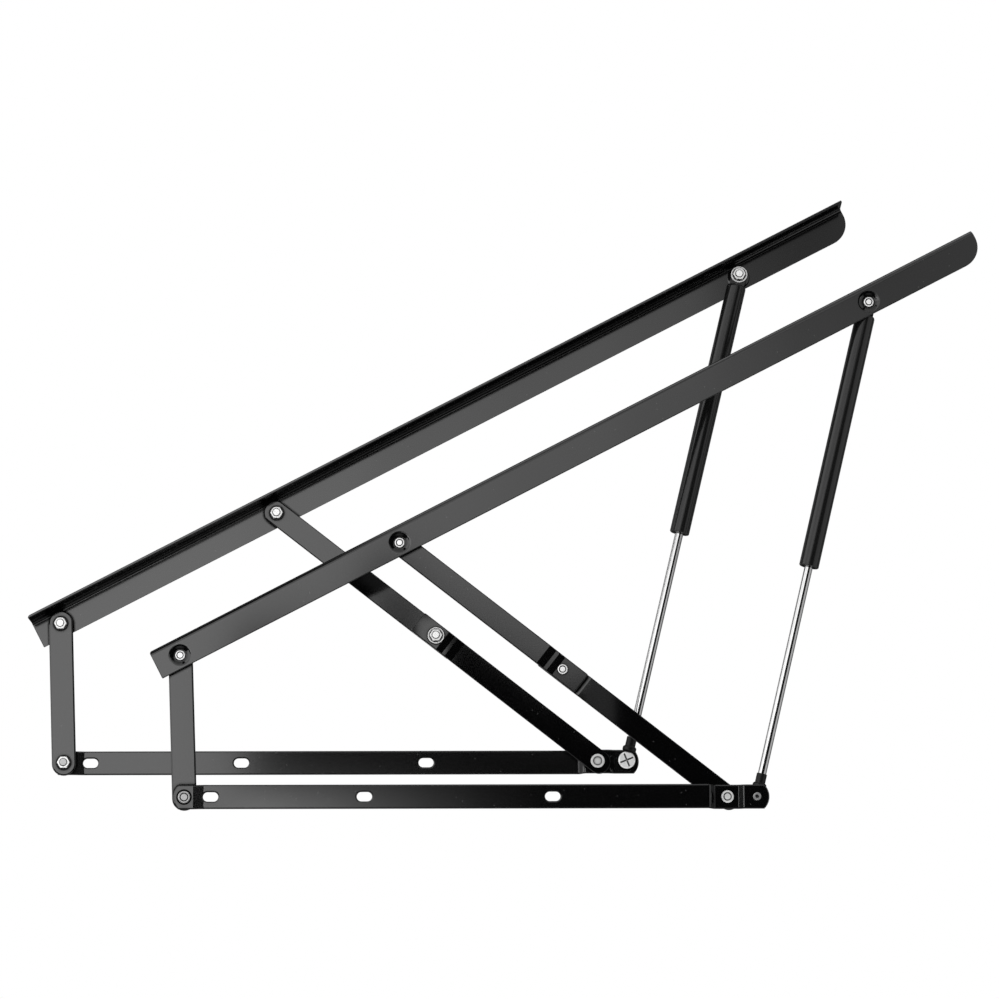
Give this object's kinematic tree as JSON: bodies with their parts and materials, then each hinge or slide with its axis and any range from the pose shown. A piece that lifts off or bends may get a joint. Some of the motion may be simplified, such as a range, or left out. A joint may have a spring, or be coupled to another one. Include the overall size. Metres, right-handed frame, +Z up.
{
  "type": "bed lift mechanism",
  "caption": "Pair of folding bed lift units with base bars, links, L-section rails and gas struts, shown raised.",
  "frame": {"origin": "on the right-hand unit's mounting plane, midway between the base bar's two outer slots", "axes": "+X to the foot of the bed along the base bar, +Y from the right-hand unit to the left-hand one, +Z up"},
  "size_m": [1.136, 0.09, 0.7451],
  "materials": {
    "black_coat": "satin black powder coat",
    "bright_zinc": "bright zinc plating",
    "strut_black": "smooth satin black paint",
    "rod_chrome": "polished hard chrome",
    "black_nylon": "moulded black nylon",
    "piston_steel": "turned steel"
  },
  "bodies": {
    "base_bars": {"right_base_bar": "black_coat", "right_rear_base_bolt": "bright_zinc", "right_rear_base_washer": "black_nylon", "right_rear_base_nut": "bright_zinc", "right_stay_base_rivet": "bright_zinc", "right_strut_base_bolt": "bright_zinc", "right_strut_base_washer": "black_nylon", "left_base_bar": "black_coat", "left_rear_base_bolt": "bright_zinc", "left_rear_base_washer": "black_nylon", "left_rear_base_nut": "bright_zinc", "left_stay_base_rivet": "bright_zinc", "left_strut_base_bolt": "bright_zinc", "left_strut_base_washer": "black_nylon"},
    "right_rear_link": {"right_rear_link": "black_coat"},
    "right_rail": {"right_rail": "black_coat", "right_rail_pivot_bolts": "bright_zinc", "right_rail_pivot_washers": "black_nylon", "right_rail_pivot_nuts": "bright_zinc", "right_strut_rail_bolt": "bright_zinc", "right_strut_spacer": "black_coat"},
    "right_upper_stay": {"right_upper_stay": "black_coat", "right_knee_bolt": "bright_zinc"},
    "right_lower_stay": {"right_lower_stay": "black_coat", "right_knee_spacer": "black_nylon", "right_knee_bolt_end": "bright_zinc", "right_knee_washer": "bright_zinc", "right_knee_nut": "bright_zinc"},
    "right_piston_rod": {"right_piston_rod": "rod_chrome", "right_piston": "piston_steel", "right_rod_socket": "black_nylon"},
    "right_strut_cylinder": {"right_strut_cylinder": "strut_black", "right_rod_gland": "black_nylon", "right_strut_tongue": "strut_black", "right_strut_eye_bolt": "bright_zinc", "right_strut_eye_washer": "bright_zinc", "right_strut_eye_nut": "bright_zinc"},
    "left_rear_link": {"left_rear_link": "black_coat"},
    "left_rail": {"left_rail": "black_coat", "left_rail_pivot_bolts": "bright_zinc", "left_rail_pivot_washers": "black_nylon", "left_rail_pivot_nuts": "bright_zinc", "left_strut_rail_bolt": "bright_zinc", "left_strut_spacer": "black_coat"},
    "left_upper_stay": {"left_upper_stay": "black_coat", "left_knee_bolt": "bright_zinc"},
    "left_lower_stay": {"left_lower_stay": "black_coat", "left_knee_spacer": "black_nylon", "left_knee_bolt_end": "bright_zinc", "left_knee_washer": "bright_zinc", "left_knee_nut": "bright_zinc"},
    "left_piston_rod": {"left_piston_rod": "rod_chrome", "left_piston": "piston_steel", "left_rod_socket": "black_nylon"},
    "left_strut_cylinder": {"left_strut_cylinder": "strut_black", "left_rod_gland": "black_nylon", "left_strut_tongue": "strut_black", "left_strut_eye_bolt": "bright_zinc", "left_strut_eye_washer": "bright_zinc", "left_strut_eye_nut": "bright_zinc"}
  },
  "joints": [
    {"name": "right_rear_link_hinge", "type": "hinge", "parent": "base_bars", "child": "right_rear_link", "pos_m": [-0.2318, 0.0073, 0], "axis": [0, 1, 0], "range_deg": [0, 49.1], "stiffness_Nm_per_rad": 12, "springref_deg": -85.94},
    {"name": "right_rail_hinge", "type": "hinge", "parent": "right_rear_link", "child": "right_rail", "pos_m": [-0.23854, 0.0073, 0.16786], "axis": [0, 1, 0], "range_deg": [-21.7, 0]},
    {"name": "right_upper_stay_hinge", "type": "hinge", "parent": "right_rail", "child": "right_upper_stay", "pos_m": [0.01981, 0.0073, 0.30178], "axis": [0, 1, 0], "range_deg": [0, 20.86]},
    {"name": "right_lower_stay_hinge", "type": "hinge", "parent": "base_bars", "child": "right_lower_stay", "pos_m": [0.4052, 0.0073, 0], "axis": [0, 1, 0], "range_deg": [-69.94, 0]},
    {"name": "right_strut_hinge", "type": "hinge", "parent": "base_bars", "child": "right_piston_rod", "pos_m": [0.4397, 0.0073, 0], "axis": [0, 1, 0], "range_deg": [0, 59.56]},
    {"name": "right_strut_slide", "type": "slide", "parent": "right_piston_rod", "child": "right_strut_cylinder", "axis": [-0.2294, 0, -0.9733], "range_m": [0, 0.21859]},
    {"name": "left_rear_link_hinge", "type": "hinge", "parent": "base_bars", "child": "left_rear_link", "pos_m": [-0.3833, 0.0827, 0.0502], "axis": [0, 1, 0], "range_deg": [0, 49.1], "stiffness_Nm_per_rad": 12, "springref_deg": -85.94},
    {"name": "left_rail_hinge", "type": "hinge", "parent": "left_rear_link", "child": "left_rail", "pos_m": [-0.39004, 0.0827, 0.21806], "axis": [0, 1, 0], "range_deg": [-21.7, 0]},
    {"name": "left_upper_stay_hinge", "type": "hinge", "parent": "left_rail", "child": "left_upper_stay", "pos_m": [-0.13169, 0.0827, 0.35198], "axis": [0, 1, 0], "range_deg": [0, 20.86]},
    {"name": "left_lower_stay_hinge", "type": "hinge", "parent": "base_bars", "child": "left_lower_stay", "pos_m": [0.2537, 0.0827, 0.0502], "axis": [0, 1, 0], "range_deg": [-69.94, 0]},
    {"name": "left_strut_hinge", "type": "hinge", "parent": "base_bars", "child": "left_piston_rod", "pos_m": [0.2882, 0.0827, 0.0502], "axis": [0, 1, 0], "range_deg": [0, 59.56]},
    {"name": "left_strut_slide", "type": "slide", "parent": "left_piston_rod", "child": "left_strut_cylinder", "axis": [-0.2294, 0, -0.9733], "range_m": [0, 0.21859]}
  ],
  "couplings": [
    {"joint": "right_rail_hinge", "follows": "right_rear_link_hinge", "ratio": -0.44198},
    {"joint": "right_upper_stay_hinge", "follows": "right_rear_link_hinge", "ratio": 0.42484},
    {"joint": "right_lower_stay_hinge", "follows": "right_rear_link_hinge", "ratio": -1.4243},
    {"joint": "right_strut_hinge", "follows": "right_rear_link_hinge", "ratio": 1.213},
    {"joint": "right_strut_slide", "follows": "right_rear_link_hinge", "m_per_rad": 0.25505},
    {"joint": "left_rail_hinge", "follows": "left_rear_link_hinge", "ratio": -0.44198},
    {"joint": "left_upper_stay_hinge", "follows": "left_rear_link_hinge", "ratio": 0.42484},
    {"joint": "left_lower_stay_hinge", "follows": "left_rear_link_hinge", "ratio": -1.4243},
    {"joint": "left_strut_hinge", "follows": "left_rear_link_hinge", "ratio": 1.213},
    {"joint": "left_strut_slide", "follows": "left_rear_link_hinge", "m_per_rad": 0.25505}
  ]
}
